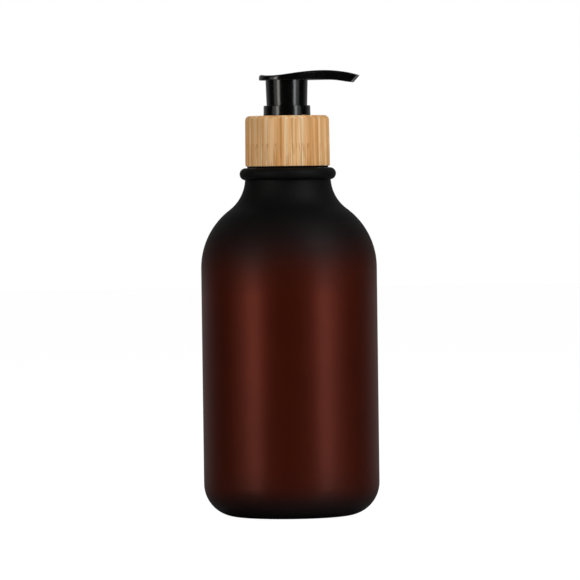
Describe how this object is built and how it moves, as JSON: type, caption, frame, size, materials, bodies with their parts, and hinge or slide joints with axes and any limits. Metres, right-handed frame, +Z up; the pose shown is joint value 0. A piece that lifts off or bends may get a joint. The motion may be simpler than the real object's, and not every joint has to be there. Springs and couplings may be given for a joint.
{
  "type": "soap pump dispenser",
  "caption": "Frosted amber bottle with a bamboo collar and a black lock-up lotion pump; pressing the saddle head dispenses liquid soap.",
  "frame": {"origin": "centre of the bottle's contact ring, in the plane of the table", "axes": "+Z up along the bottle's axis, +X from the axis towards the nozzle"},
  "size_m": [0.075, 0.075, 0.1898],
  "materials": {
    "frosted_amber": "frosted translucent amber, satin",
    "bamboo": "clear-lacquered vertical bamboo grain",
    "black_plastic": "moulded black polypropylene, glossy",
    "natural_plastic": "natural polypropylene, slightly milky",
    "gasket_foam": "white soft foam washer",
    "spring_steel": "drawn stainless wire",
    "ball_steel": "polished stainless"
  },
  "bodies": {
    "bottle": {"bottle": "frosted_amber"},
    "pump": {"housing": "natural_plastic", "lock_ring": "black_plastic", "gasket": "gasket_foam", "dip_tube": "natural_plastic", "spring_retainer": "natural_plastic", "spring": "spring_steel"},
    "collar": {"closure": "black_plastic", "bamboo_sleeve": "bamboo"},
    "plunger": {"valve_pin": "natural_plastic"},
    "head": {"actuator": "black_plastic", "stem": "natural_plastic"},
    "piston": {"piston": "natural_plastic"},
    "inlet_ball": {"inlet_ball": "ball_steel"}
  },
  "joints": [
    {"name": "pump_lift", "type": "slide", "parent": "bottle", "child": "pump", "axis": [0, 0, 1], "range_m": [0, 0.00635]},
    {"name": "closure_turn", "type": "hinge", "parent": "pump", "child": "collar", "pos_m": [0, 0, 0.16], "axis": [0, 0, 1], "range_deg": [0, 540]},
    {"name": "press", "type": "slide", "parent": "pump", "child": "plunger", "axis": [0, 0, 1], "range_m": [-0.01, 0], "stiffness_N_per_m": 300, "springref_m": 0.008, "deforming": ["spring"]},
    {"name": "head_turn", "type": "hinge", "parent": "plunger", "child": "head", "pos_m": [0, 0, 0.18], "axis": [0, 0, 1], "range_deg": [0, 90]},
    {"name": "piston_slide", "type": "slide", "parent": "pump", "child": "piston", "axis": [0, 0, 1], "range_m": [-0.0089, 0]},
    {"name": "inlet_ball_lift", "type": "slide", "parent": "pump", "child": "inlet_ball", "axis": [0, 0, 1], "range_m": [0, 0.0012]}
  ],
  "couplings": [
    {"joint": "closure_turn", "follows": "pump_lift", "rad_per_m": 1484.2},
    {"joint": "piston_slide", "follows": "press", "ratio": 0.89}
  ]
}
